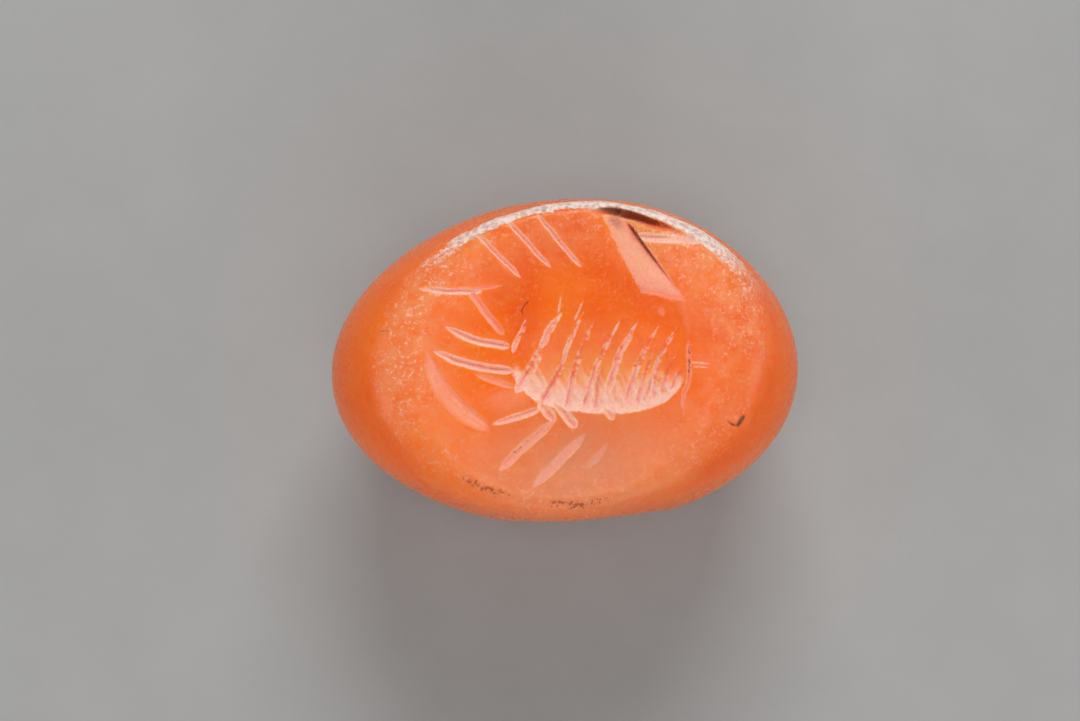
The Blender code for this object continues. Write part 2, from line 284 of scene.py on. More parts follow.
def beside_path(places, path):
    """Distance to the left of a path, share of the way along it, and its length."""
    line = curve_through(path)
    lengths = np.linalg.norm(np.diff(line, axis=0), axis=1)
    total = lengths.sum()
    best = np.full(len(places), np.inf)
    side = np.zeros(len(places))
    share = np.zeros(len(places))
    done = 0.0
    for start, end, length in zip(line, line[1:], lengths):
        direction = (end - start) / length
        offset = places - start
        along = np.clip(offset @ direction, 0.0, length)
        distance = np.linalg.norm(offset - along[:, None] * direction, axis=1)
        left = direction[0] * offset[:, 1] - direction[1] * offset[:, 0]
        nearer = distance < best
        best = np.where(nearer, distance, best)
        side = np.where(nearer, np.where(left < 0.0, -distance, distance), side)
        share = np.where(nearer, (done + along) / total, share)
        done += length
    return side, share, total


def near_path(places, path, reach):
    """Numbers of the places within reach of a path's box."""
    line = curve_through(path)
    low, high = line.min(axis=0) - reach, line.max(axis=0) + reach
    return np.nonzero(np.all((places > low) & (places < high), axis=1))[0]


def stroke_shape(places, stroke):
    """Places that a stroke touches: where along and beside it they lie, and its fullness there."""
    chosen = near_path(places, stroke.path, stroke.width)
    side, share, length = beside_path(places[chosen], stroke.path)
    run_in = np.clip(share / max(stroke.ends[0], 0.01), 0.0, 1.0)
    run_out = np.clip((1.0 - share) / max(stroke.ends[1], 0.01), 0.0, 1.0)
    fullness = np.sin(math.pi / 2 * run_in) * np.sin(math.pi / 2 * run_out)
    half = stroke.width / 2 * fullness ** WIDTH_POWER + 1e-6
    across = side / half
    reach = np.where(across > -stroke.skew, 1.0 + stroke.skew, 1.0 - stroke.skew)
    away = np.clip(np.abs(across + stroke.skew) / reach, 0.0, 1.0)
    return chosen, side, share, length, fullness * (1.0 - away ** stroke.section)


def cut_stroke(places, stroke):
    """Places that a stroke touches, with its depth and frost there."""
    chosen, side, share, length, shape = stroke_shape(places, stroke)
    grain = value_noise(np.column_stack((side, share * length / GRAIN_STRETCH)), GRAIN_CELL, 11)
    grain = grain * min(1.0, GRAIN_WIDTH / stroke.width)
    depth = stroke.depth * shape * (1.0 + GRAIN * grain)
    missing = stroke.bare * (1.0 - smooth(share, 0.35, 0.85))
    patch = 0.5 + 0.5 * rough_noise(places[chosen], 0.1, 13, 2)
    soft_edge = 0.02 + 0.08 * stroke.width ** 2
    frost = stroke.frost * smooth(depth, 0.0, soft_edge) * (0.9 + 0.25 * grain)
    return chosen, depth, frost * (0.12 + 0.88 * smooth(patch, missing - 0.25, missing + 0.25))


def far_leg_strokes():
    """The far legs, alike but for their places."""
    for path in FAR_LEGS:
        yield Stroke(path, FAR_LEG_WIDTH, FAR_LEG_DEPTH, 0.1, 1.2, (0.2, 0.2), 0.95)


def cut_hollow(places):
    """The body's hollow, whitened towards its near wall: partly frost, partly painted light on that
    wall, which faces the key light.
    """
    offset = places - HOLLOW_CENTRE
    along = offset[:, 0] * math.cos(HOLLOW_TURN) + offset[:, 1] * math.sin(HOLLOW_TURN)
    across = offset[:, 1] * math.cos(HOLLOW_TURN) - offset[:, 0] * math.sin(HOLLOW_TURN)
    along = along / HOLLOW_HALF[0]
    full = np.sqrt(np.clip(1.0 - np.abs(along) ** 2.6, 0.0, 1.0)) + 1e-6
    across = np.clip(0.5 + across / (2.0 * HOLLOW_HALF[1] * full), 0.0, 1.0)
    ends = smooth(1.0 - np.abs(along), 0.0, HOLLOW_ENDS)
    floor = (1.0 - across) ** 1.6
    depth = HOLLOW_DEPTH * ends * smooth(across, 0.0, HOLLOW_WALL) * floor
    streaks = value_noise(places * (4.0, 0.5) + (places[:, 1:] * 2.2) * (1.0, 0.0), 0.5, 91)
    # Whiter towards the near wall: partly frost, partly painted light where that wall faces the key
    # light
    whitened = smooth(0.5 - across + 0.1 * streaks, 0.0, 0.42)
    return depth, smooth(depth, 0.0, 0.04) * whitened


def rib_strokes():
    """The slanting ribs of the body, bowed to the left."""
    for far_end, near_end, bow, width, depth, frost in RIBS:
        start, end = np.array(far_end), np.array(near_end)
        run = (end - start) / np.linalg.norm(end - start)
        middle = (start + end) / 2 + bow * np.array((run[1], -run[0]))
        path = (start, middle, end)
        yield Stroke(path, width, depth, 0.25, 1.3, (RIB_RUN_IN, 0.14), 1.0, 1.0 - frost)


def line_distance(places, line):
    """Distance to the left of a straight line."""
    start, end = (np.array(point) for point in line)
    direction = (end - start) / np.linalg.norm(end - start)
    offset = places - start
    return direction[0] * offset[:, 1] - direction[1] * offset[:, 0]


def cut_tail_end(places):
    """Broad end of the tail: a floor that slopes down from its left edge to a steep right wall."""
    from_left = line_distance(places, TAIL_LEFT)
    from_right = -line_distance(places, TAIL_RIGHT)
    from_end = line_distance(places, TAIL_END)
    across = from_left / np.maximum(from_left + from_right, 1e-6)
    inside = (from_left > 0.0) & (from_right > 0.0) & (from_end > 0.0)
    edges = smooth(from_left, 0.0, 0.06) * smooth(from_right, 0.0, TAIL_WALL)
    edges *= smooth(from_end, 0.0, 0.2)
    slope = np.clip(across, 0.0, 1.0) * smooth(from_end, 0.0, TAIL_RUN_OUT)
    depth = (TAIL_STEP + (TAIL_DEPTH - TAIL_STEP) * slope) * edges
    depth = np.where(inside, depth, 0.0)
    fading = 0.35 + 0.65 * smooth(from_end, 0.0, 0.4)
    return depth, TAIL_FROST * fading * smooth(depth, 0.0, 0.04)


def carve(places):
    """Depth and frost of the whole engraving at places on the face."""
    wander = np.column_stack([rough_noise(places, 0.35, seed, 3) for seed in (21, 31)])
    wobbly = places + LINE_WOBBLE * wander
    ragged = places + BODY_WOBBLE * wander + BODY_RAGGED * value_noise(places, 0.09, 95)[:, None]
    depth, frost = cut_hollow(ragged)
    for stroke in rib_strokes():
        chosen, cut, white = cut_stroke(ragged, stroke)
        depth[chosen] += cut
        # Painted shade: frost is taken off along each rib's deepest line
        line = smooth(cut / stroke.depth, 0.75, 0.98)
        frost[chosen] = np.maximum(frost[chosen], white) * (1.0 - RIB_SHADE_LINE * line)
    tail_depth, tail_frost = cut_tail_end(ragged)
    frost = np.where(tail_depth > depth, tail_frost, frost)
    depth = np.maximum(depth, tail_depth)
    groups = (
        far_leg_strokes(), NEAR_THIGHS, NEAR_LEGS, MOUTHPARTS, FAR_CLAW, NEAR_CLAW, NEAR_ARM,
        TAIL_LINKS, STING, RIM_HOLLOW, SMALL_FLAKES)
    for stroke in itertools.chain(*groups):
        chosen, cut, white = cut_stroke(wobbly, stroke)
        deeper = cut > depth[chosen]
        frost[chosen] = np.where(deeper, white, frost[chosen])
        depth[chosen] = np.maximum(depth[chosen], cut)
    return depth, frost


# The stone

def stone_point(phi, height, inset):
    """The stone's surface at a direction and a height, drawn in by inset."""
    rise = np.clip((height - GIRTH_HEIGHT) / (HEIGHT - GIRTH_HEIGHT), 0.0, 1.0)
    flat_share = FLAT_LENGTH / GIRTH_LENGTH
    dome_depth = GIRTH_HEIGHT / math.sqrt(1.0 - flat_share ** 2)
    drop = np.clip((GIRTH_HEIGHT - height) / dome_depth, 0.0, 1.0)
    dome = np.sqrt(1.0 - drop ** 2)
    flank_power = (NEAR_POWER + FAR_POWER) / 2 - (NEAR_POWER - FAR_POWER) / 2 * np.sin(phi)
    end_blend = rise ** END_POWER
    flank_blend = rise ** flank_power
    blend = (end_blend + flank_blend) / 2
    half_length = dome * (GIRTH_LENGTH + (FACE_LENGTH - GIRTH_LENGTH) * end_blend) / 2 - inset
    half_width = dome * (GIRTH_WIDTH + (FACE_WIDTH - GIRTH_WIDTH) * flank_blend) / 2 - inset
    bulge = 1.0 + (1.0 - blend) * UNEVEN * np.cos(3 * (phi - UNEVEN_AT))
    turn = FACE_TURN * blend
    along = half_length * np.cos(phi - turn) * bulge
    across = half_width * np.sin(phi - turn) * bulge
    x = along * np.cos(turn) - across * np.sin(turn) + FACE_SHIFT[0] * blend
    y = along * np.sin(turn) + across * np.cos(turn) + FACE_SHIFT[1] * blend
    lean = math.tan(GIRTH_LEAN) * np.sin(math.pi * height / HEIGHT)
    return np.stack((x, y, height - lean * y), axis=-1)


def rim_wear(phi):
    """Radius of the worn edge of the face by direction, with its chips and dents."""
    ring = np.column_stack((np.cos(phi), np.sin(phi)))
    side = np.where(np.sin(phi) > 0.0, RIM_WEAR_FAR, RIM_WEAR_NEAR)
    even = RIM_WEAR_ENDS * np.cos(phi) ** 2 + side * np.sin(phi) ** 2
    dents = RIM_DENTS * rough_noise(ring, 0.35, 41, 2)
    chips = RIM_CHIPPING * rough_noise(ring, 0.06, 43, 2) * smooth(np.sin(phi), 0.5, 0.9)
    return even * (1.0 + dents + chips)


def disc_grid():
    """Directions and shares of the radius of a square grid laid out in concentric circles."""
    line = np.linspace(-1.0, 1.0, FACE_CELLS + 1)
    a, b = np.meshgrid(line, line)
    wide = np.abs(a) >= np.abs(b)
    radius = np.where(wide, a, b)
    safe = np.where(radius == 0.0, 1.0, radius)
    angle = np.where(wide, math.pi / 4 * b / safe, math.pi / 2 - math.pi / 4 * a / safe)
    angle = np.where(radius < 0.0, angle + math.pi, angle)
    return angle.ravel(), np.abs(radius).ravel()


def grid_boundary():
    """Numbers of the grid's outer vertices, anticlockwise."""
    n = FACE_CELLS
    bottom = list(range(n))
    right = [j * (n + 1) + n for j in range(n)]
    top = [n * (n + 1) + n - i for i in range(n)]
    left = [(n - j) * (n + 1) for j in range(n)]
    return np.array(bottom + right + top + left)


def face_places():
    """Points of the face before it is carved, and their shares of its radius."""
    angle, share = disc_grid()
    wear = rim_wear(angle + FACE_TURN)
    inset = wear * share ** 3
    along = (FACE_LENGTH / 2 - inset) * share * np.cos(angle)
    across = (FACE_WIDTH / 2 - inset) * share * np.sin(angle)
    x = along * math.cos(FACE_TURN) - across * math.sin(FACE_TURN) + FACE_SHIFT[0]
    y = along * math.sin(FACE_TURN) + across * math.cos(FACE_TURN) + FACE_SHIFT[1]
    return np.column_stack((x, y)), share, angle


def side_rings(phi):
    """Rings from the worn edge of the face down to the flat spot, each with how level it is."""
    wear = rim_wear(phi)
    none = np.zeros(len(phi))
    for k in range(1, WEAR_RINGS + 1):
        angle = math.pi / 2 * (1.0 - k / WEAR_RINGS)
        inset = wear * (1.0 - math.cos(angle))
        yield stone_point(phi, HEIGHT - wear * (1.0 - math.sin(angle)), inset), math.sin(angle)
    for k in range(1, SIDE_RINGS + 1):
        climb = 1.0 - k / SIDE_RINGS
        yield stone_point(phi, GIRTH_HEIGHT + (HEIGHT - wear - GIRTH_HEIGHT) * climb, none), 0.0
    flat_angle = math.acos(FLAT_LENGTH / GIRTH_LENGTH)
    for k in range(1, DOME_RINGS + 1):
        angle = flat_angle * k / DOME_RINGS
        height = GIRTH_HEIGHT * (1.0 - math.sin(angle) / math.sin(flat_angle))
        yield stone_point(phi, none + height, none), 0.0
    for share in (0.7, 0.4, 0.15):
        yield stone_point(phi, none, none) * (share, share, 1.0), 0.0


def crowned(points, share):
    """Lower the face towards its edge, and the upper flank with it."""
    rise = smooth(points[:, 2], GIRTH_HEIGHT, HEIGHT)
    lowered = points.copy()
    lowered[:, 2] -= CROWN * share ** 2 * rise
    return lowered


def carved(points, level):
    """Cut the engraving down into the face, fading as its worn edge turns over."""
    upper = level > 0.0
    depth, _ = carve(points[upper, :2])
    result = points.copy()
    result[upper, 2] -= depth * smooth(level[upper], 0.25, 0.85)
    return result


def weathered(points):
    """Take a thin uneven skin off the flanks, always inwards."""
    dents = 0.5 + 0.5 * value_noise(points, 1.8, 51)
    loss = (SKIN_LOSS + SKIN_DENTS * dents) * smooth(points[:, 2], 0.05, 0.6)
    loss *= 1.0 - smooth(points[:, 2], HEIGHT - 1.4, HEIGHT - 0.3)
    radius = np.maximum(np.linalg.norm(points[:, :2], axis=1), 1.0)
    result = points.copy()
    result[:, :2] *= (1.0 - loss / radius)[:, None]
    return result


def new_mesh_object(name, verts, faces):
    """Object in the scene with a mesh of its own."""
    mesh = bpy.data.meshes.new(name)
    mesh.from_pydata(verts.tolist(), [], faces)
    mesh.update()
    obj = bpy.data.objects.new(name, mesh)
    bpy.context.scene.collection.objects.link(obj)
    return obj


def ring_faces(upper, lower):
    """Quads between two rings of vertex numbers, facing away from the stone."""
    return np.column_stack((upper, lower, np.roll(lower, -1), np.roll(upper, -1))).tolist()


def make_solid(name):
    """The whole stone before its hole is drilled, in millimetres."""
    places, share, angle = face_places()
    wave = FACE_WAVE * (rough_noise(places, 2.6, 61, 2) - 1.5)
    top = np.column_stack((places, HEIGHT + wave * (1.0 - share ** 6)))
    outer = grid_boundary()
    phi = angle[outer] + FACE_TURN
    rings = list(side_rings(phi))
    around = len(phi)
    points = np.vstack([top] + [ring for ring, _ in rings])
    level = np.concatenate([np.ones(len(top))] + [np.full(around, turned) for _, turned in rings])
    share = np.concatenate((share, np.ones(around * len(rings))))
    points = weathered(carved(crowned(points, share), level))

    n = FACE_CELLS + 1
    grid = np.arange(n * n).reshape(n, n)
    corners = (grid[:-1, :-1], grid[:-1, 1:], grid[1:, 1:], grid[1:, :-1])
    faces = np.column_stack([corner.ravel() for corner in corners]).tolist()
    upper = outer
    for k in range(len(rings)):
        lower = np.arange(len(top) + k * around, len(top) + (k + 1) * around)
        faces += ring_faces(upper, lower)
        upper = lower
    middle = points[upper].mean(axis=0)
    faces += [(a, len(points), b) for a, b in zip(upper.tolist(), np.roll(upper, -1).tolist())]
    return new_mesh_object(name, np.vstack((points, middle)), faces)


def hole_radius(depth):
    """Radius of the cord hole at a depth inside the widest part of the flank."""
    worn = np.clip(1.0 - depth / MOUTH_DEPTH, 0.0, None)
    return (HOLE_DIAMETER + (MOUTH_DIAMETER - HOLE_DIAMETER) * worn ** 2) / 2


def make_drill(name):
    """Cutter for the cord hole: bored from both flanks, with worn mouths and drill rings."""
    end = GIRTH_WIDTH / 2 + DRILL_REACH
    mouth = GIRTH_WIDTH / 2 - MOUTH_DEPTH
    inner = np.linspace(-mouth, mouth, BORE_STEPS)
    outer = np.linspace(mouth, end, MOUTH_STEPS + 1)[1:]
    along = np.concatenate((-outer[::-1], inner, outer))
    around = np.linspace(0.0, math.tau, BORE_SIDES, endpoint=False)
    y, angle = np.meshgrid(along, around, indexing="ij")
    radius = hole_radius(GIRTH_WIDTH / 2 - np.abs(y))
    skin = np.column_stack((np.cos(angle).ravel(), y.ravel(), np.sin(angle).ravel()))
    rings = DRILL_RINGS * rough_noise(skin * (2.2, 3.0, 2.2), 1.0, 71, 3).reshape(y.shape)
    meeting = DRILL_RIDGE * np.exp(-(y / 0.25) ** 2)
    radius = radius + rings - meeting
    x = HOLE_X + radius * np.cos(angle)
    z = HOLE_HEIGHT + radius * np.sin(angle)
    verts = np.stack((x, y, z), axis=-1).reshape(-1, 3)
    count = len(along)
    numbers = np.arange(count * BORE_SIDES).reshape(count, BORE_SIDES)
    faces = []
    for k in range(count - 1):
        faces += ring_faces(numbers[k], numbers[k + 1])
    faces.append(numbers[0].tolist())
    faces.append(numbers[-1][::-1].tolist())
    return new_mesh_object(name, verts, faces)


def apply_modifiers(obj):
    """Replace an object's mesh with its evaluated one."""
    graph = bpy.context.evaluated_depsgraph_get()
    mesh = bpy.data.meshes.new_from_object(obj.evaluated_get(graph))
    old = obj.data
    obj.modifiers.clear()
    obj.data = mesh
    bpy.data.meshes.remove(old)


def mesh_points(mesh):
    """A mesh's vertices as rows of coordinates."""
    points = np.empty(len(mesh.vertices) * 3)
    mesh.vertices.foreach_get("co", points)
    return points.reshape(-1, 3)


def drill(stone):
    """Cut the cord hole, then wear down the edges of its mouths."""
    cutter = make_drill("drill")
    bore = stone.modifiers.new("Cord hole", "BOOLEAN")
    bore.operation = "DIFFERENCE"
    bore.object = cutter
    bore.solver = "MANIFOLD"
    apply_modifiers(stone)
    bpy.data.objects.remove(cutter)
    wear_mouths(stone.data)


def wear_mouths(mesh):
    """Smooth the vertices close to the sharp ring where the hole meets each flank."""
    points = mesh_points(mesh)
    radius = np.hypot(points[:, 0] - HOLE_X, points[:, 2] - HOLE_HEIGHT)
    on_bore = np.abs(radius - hole_radius(GIRTH_WIDTH / 2 - np.abs(points[:, 1]))) < 0.09
    edges = np.empty(len(mesh.edges) * 2, dtype=int)
    mesh.edges.foreach_get("vertices", edges)
    edges = edges.reshape(-1, 2)
    mixed = edges[on_bore[edges[:, 0]] != on_bore[edges[:, 1]]]
    ring = np.unique(mixed[on_bore[mixed]]) if len(mixed) else np.array([], dtype=int)
    ring = ring[np.abs(points[ring, 1]) > GIRTH_WIDTH / 2 - MOUTH_DEPTH]
    tree = KDTree(len(ring))
    for number in ring:
        tree.insert(points[number], int(number))
    tree.balance()
    close = np.nonzero((radius < MOUTH_DIAMETER) & (np.abs(points[:, 1]) > 3.5))[0]
    weight = np.zeros(len(points))
    for number in close:
        weight[number] = 1.0 - smooth(tree.find(points[number])[2], 0.12, MOUTH_WEAR)
    part = edges[(weight[edges[:, 0]] > 0.0) | (weight[edges[:, 1]] > 0.0)]
    for _ in range(24):
        total = np.zeros_like(points)
        count = np.zeros(len(points))
        for a, b in ((0, 1), (1, 0)):
            np.add.at(total, part[:, a], points[part[:, b]])
            np.add.at(count, part[:, a], 1.0)
        mean = total / np.maximum(count, 1.0)[:, None]
        move = np.where((count > 0)[:, None], mean - points, 0.0)
        points = points + 0.6 * weight[:, None] * move
    mesh.vertices.foreach_set("co", points.ravel())
    mesh.update()


def thin_mesh(stone):
    """Bring the mesh down to its budget, away from the engraving."""
    points = mesh_points(stone.data)
    on_face = points[:, 2] > HEIGHT - 1.0
    depth = np.zeros(len(points))
    depth[on_face], _ = carve(points[on_face, :2])
    free = np.where((depth > PROTECTED_DEPTH) | (bruised(points) > 0.0), 0.0, 1.0)
    group = stone.vertex_groups.new(name="may_thin")
    group.add(np.nonzero(free)[0].tolist(), 1.0, "REPLACE")
    stone.data.calc_loop_triangles()
    thin = stone.modifiers.new("Thin", "DECIMATE")
    thin.ratio = TRIANGLES / len(stone.data.loop_triangles)
    thin.vertex_group = group.name
    apply_modifiers(stone)
    stone.vertex_groups.clear()


def make_stone():
    """The finished stone, with the masks for its material."""
    stone = make_solid("seal_stone_carved")
    drill(stone)
    thin_mesh(stone)
    mesh = stone.data
    mark_surface(mesh)
    mesh.vertices.foreach_set("co", (mesh_points(mesh) * MM).ravel())
    mesh.shade_smooth()
    mesh.update()
    return stone


# Masks that the material reads, painted with strokes whose depth is the strength of the mask

SOIL = (
    Stroke(((4.5, 0.2), (4.5, -0.6), (4.42, -1.3)), 0.2, 0.6, 0.0, 2.0, (0.2, 0.3)),
    Stroke(((-1.45, -3.2), (-1.9, -3.65), (-2.35, -4.0)), 0.24, 0.4, 0.0, 2.0, (0.3, 0.3)),
    Stroke(((-4.4, -4.35), (-3.1, -5.1), (-1.9, -5.45)), 0.5, 0.56, 0.0, 2.0, (0.3, 0.3)),
    Stroke(((-1.5, -5.62), (0.3, -5.76), (2.0, -5.4)), 0.5, 0.56, 0.0, 2.0, (0.3, 0.3)),
    Stroke(((3.7, 0.0), (3.62, -0.9)), 0.16, 0.4, 0.0, 2.0, (0.3, 0.3)),
    Stroke(((-1.5, 5.1), (0.2, 5.35), (1.6, 5.35)), 0.22, 0.4, 0.0, 2.0, (0.3, 0.3)),
)
# Painted shade: dark brown where the rim hollow, the tail's steep right wall and small chips lie in
# shade
PAINTED_SHADE = (
    Stroke(((0.95, 5.24), (2.0, 5.14), (3.2, 4.76), (4.9, 4.14)), 0.4, 1.0, -0.3, 2.0, (0.25, 0.6)),
    Stroke(((1.6, 5.0), (2.0, 4.7), (2.2, 4.2)), 0.8, 0.45, 0.0, 2.0, (0.3, 0.6)),
    Stroke(((2.33, 4.8), (3.05, 3.7), (4.42, 1.7)), 0.17, 0.75, -0.3, 1.6, (0.1, 0.8)),
    Stroke(((2.6, 4.4), (3.5, 4.3), (4.5, 4.14)), 0.16, 0.35, 0.0, 2.0, (0.2, 0.5)),
    Stroke(((5.82, -2.78), (6.0, -2.94), (6.25, -2.92), (6.52, -2.5)),
           0.13, 0.85, 0.0, 2.0, (0.2, 0.2)),
    Stroke(((-6.95, 1.05), (-6.8, 0.9), (-6.6, 0.98)), 0.1, 0.6, 0.0, 2.0, (0.2, 0.2)),
    Stroke(((-1.32, 1.9), (-1.62, 1.55), (-1.62, 1.25)), 0.13, 0.5, 0.0, 2.0, (0.2, 0.2)),
)

# White bruises beside the crest of the far rim
BRUISES = (
    Stroke(((7.09, 0.8), (7.07, 0.33), (6.98, -0.14)), 0.18, 0.85, 0.0, 2.0, (0.4, 0.4)),
    Stroke(((6.5, 2.3), (6.65, 1.9), (6.75, 1.4)), 0.3, 0.48, 0.0, 2.0, (0.4, 0.4)),
    Stroke(((5.4, 3.95), (6.08, 3.22), (6.5, 2.3)), 0.42, 0.62, 0.0, 2.0, (0.3, 0.4)),
)


def mask_at(places, strokes):
    """Strongest of several strokes at each place."""
    mask = np.zeros(len(places))
    for stroke in strokes:
        chosen, _, _, _, shape = stroke_shape(places, stroke)
        mask[chosen] = np.maximum(mask[chosen], stroke.depth * shape)
    return mask


def bruised(points):
    """Strength of the bruises at points of the stone."""
    return mask_at(points[:, :2], BRUISES) * smooth(points[:, 2], HEIGHT - 2.3, HEIGHT - 1.9)


def face_share(places):
    """Direction from the middle of the face and share of its radius."""
    offset = places - FACE_SHIFT
    along = offset[:, 0] * math.cos(FACE_TURN) + offset[:, 1] * math.sin(FACE_TURN)
    across = offset[:, 1] * math.cos(FACE_TURN) - offset[:, 0] * math.sin(FACE_TURN)
    along = along / (FACE_LENGTH / 2)
    across = across / (FACE_WIDTH / 2)
    return np.arctan2(across, along), np.hypot(along, across)


def store(mesh, name, values):
    """Keep a value from 0 to 1 for each vertex, for the material to read."""
    layer = mesh.attributes.new(name, "FLOAT", "POINT")
    layer.data.foreach_set("value", np.clip(values, 0.0, 1.0).astype(np.float32))


def between(direction, low, high):
    """0 to 1 as a direction turns from one angle in degrees to another."""
    return smooth(direction, math.radians(low), math.radians(high))


def mark_engraving(mesh, points):
    """Store where the stone is cut and frosted, where it is soiled, and where light and shade are
    painted into its cuts.
    """
    places = points[:, :2]
    high = smooth(points[:, 2], HEIGHT - 1.1, HEIGHT - 0.8)
    depth, frost = carve(places)
    store(mesh, "frost", frost * high)
    # Cut mask, which the material also uses to pale the cuts with painted light
    store(mesh, "cut", smooth(depth, 0.02, 0.2) * high)
    store(mesh, "soil", mask_at(places, SOIL) * high)
    store(mesh, "painted_shade", mask_at(places, PAINTED_SHADE) * high)


def mark_rim(mesh, points):
    """Store the bruised crest of the far rim, and the specks and haze along the whole of it."""
    direction, share = face_share(points[:, :2])
    patches = rough_noise(points, 0.5, 81, 4)
    crest = 0.45 * between(direction, -4.0, 14.0)
    crest += 0.55 * between(direction, 12.0, 44.0)
    crest = crest * (1.0 - between(direction, 95.0, 160.0))
    edge = smooth(share + 0.01 * patches, 0.962, 0.992)
    level = points[:, 2] + 0.15 * patches + CREST_FALL * np.cos(direction) ** 4
    edge *= smooth(level, HEIGHT - 0.85, HEIGHT - 0.55)
    store(mesh, "crest", np.maximum(0.95 * edge * crest, bruised(points)))
    ends = smooth(np.abs(np.cos(direction)), 0.3, 0.8) * smooth(np.sin(direction), -0.5, 0.3)
    band = smooth(share, 0.7, 0.93) * (1.0 - smooth(share, 1.0, 1.12))
    corner = between(direction, 5.0, 35.0) * (1.0 - between(direction, 55.0, 80.0))
    store(mesh, "specks", 0.16 + 0.84 * band * (ends + 0.3 + 0.9 * corner))
    dull = smooth(share, 0.5, 0.9) * (1.0 - smooth(share, 0.98, 1.12))
    store(mesh, "haze", dull * (0.6 + 0.4 * ends))


def mark_bore(mesh, points):
    """Store where the stone is drilled."""
    radius = np.hypot(points[:, 0] - HOLE_X, points[:, 2] - HOLE_HEIGHT)
    within = hole_radius(GIRTH_WIDTH / 2 - np.abs(points[:, 1])) + 0.15 - radius
    store(mesh, "bore", smooth(within, 0.0, 0.12))


def mark_surface(mesh):
    """Store the masks at every vertex."""
    points = mesh_points(mesh)
    mark_engraving(mesh, points)
    mark_rim(mesh, points)
    mark_bore(mesh, points)


# Material

class Graph:
    """Short forms for the nodes of one material."""

    def __init__(self, name):
        self.material = bpy.data.materials.new(name)
        self.material.use_nodes = True
        self.tree = self.material.node_tree
        self.shader = self.tree.nodes["Principled BSDF"]

    def node(self, kind, inputs=None, **settings):
        made = self.tree.nodes.new("ShaderNode" + kind)
        for key, value in settings.items():
            setattr(made, key, value)
        for key, value in (inputs or {}).items():
            self.feed(made.inputs[key], value)
        return made

    def feed(self, socket, value):
        if isinstance(value, bpy.types.NodeSocket):
            self.tree.links.new(value, socket)
        else:
            socket.default_value = value

    def attribute(self, name):
        return self.node("Attribute", attribute_name=name).outputs["Fac"]

    def calc(self, operation, first, second, clamp=False):
        made = self.node("Math", operation=operation, use_clamp=clamp)
        self.feed(made.inputs[0], first)
        self.feed(made.inputs[1], second)
        return made.outputs[0]

    def range(self, value, low, high, to_low=0.0, to_high=1.0):
        """A value brought from one range to another, with a smooth turn at each end."""
        made = self.node("MapRange", {
            "Value": value, "From Min": low, "From Max": high, "To Min": to_low, "To Max": to_high})
        made.interpolation_type = "SMOOTHSTEP"
        return made.outputs[0]

    def noise(self, vector, scale, detail=3.0, rough=0.55, distortion=0.0):
        made = self.node("TexNoise", {
            "Vector": vector, "Scale": scale, "Detail": detail, "Roughness": rough,
            "Distortion": distortion})
        return made.outputs["Fac"]

    def mix(self, factor, first, second):
        made = self.node("Mix", data_type="RGBA")
        self.feed(made.inputs[0], factor)
        self.feed(made.inputs[6], first)
        self.feed(made.inputs[7], second)
        return made.outputs[2]

    def ball(self, vector, centre, size):
        """1 at a centre, falling to 0 at an ellipsoid around it."""
        scale = tuple(1.0 / s for s in size)
        location = tuple(-c / s for c, s in zip(centre, size))
        placed = self.node("Mapping", {"Vector": vector, "Location": location, "Scale": scale})
        length = self.node("VectorMath", {0: placed.outputs[0]}, operation="LENGTH")
        return self.range(length.outputs["Value"], 1.0, 0.0)


# Colours of the stone and of what lies on it, and of the light and shade painted on it
DEEP_ORANGE = (0.8, 0.115, 0.004, 1.0)
BRIGHT_ORANGE = (0.96, 0.175, 0.005, 1.0)
GLOW_ORANGE = (1.0, 0.19, 0.003, 1.0)
PALE_ORANGE = (0.93, 0.24, 0.04, 1.0)
# Paler orange painted into the cuts as light
CUT_PAINTED_LIGHT = (0.97, 0.27, 0.06, 1.0)
MILK_AND_SHEEN = (0.6, 0.25, 0.13, 1.0)
FROST_WHITE = (0.96, 0.58, 0.48, 1.0)
HAZE = (0.9, 0.32, 0.14, 1.0)
FLANK_GLOW_ORANGE = (0.98, 0.15, 0.002, 1.0)
RIM_WHITE = (0.92, 0.74, 0.68, 1.0)
RIM_GREY = (0.62, 0.42, 0.37, 1.0)
SPECK_WHITE = (0.95, 0.56, 0.42, 1.0)
# Brown for soil, and for the painted shade in the darkest cuts
SOIL_AND_SHADE_BROWN = (0.15, 0.04, 0.014, 1.0)
BORE_TONE = (0.72, 0.3, 0.17, 1.0)

# Places in the stone where its colour changes, each a centre and half sizes: a painted glow, a
# painted shade, and a milky patch that is partly a painted reflection
GLOW_PLACE = ((-0.1, 1.7, 11.9), (1.6, 1.9, 2.0))
SHADE_PLACE = ((2.9, 1.9, 11.9), (2.4, 1.7, 2.0))
MILK_AND_SHEEN_PLACE = ((0.4, -4.4, 11.8), (6.2, 4.2, 3.2))

# Heights between which the flanks' painted glow, a deeper red-orange for light shining through them,
# sets in
FLANK_GLOW_HEIGHTS = (11.4, 9.5)

CARNELIAN_IOR = 1.54
GLOSS = 0.16                       # low, since old wear has dulled the polish
LIGHT_REACH = (6.0, 1.0, 0.3)      # how far red, green and blue light travel inside, in mm
FROST_OPACITY = 0.6
BUMP_HEIGHT = 0.02                 # in mm


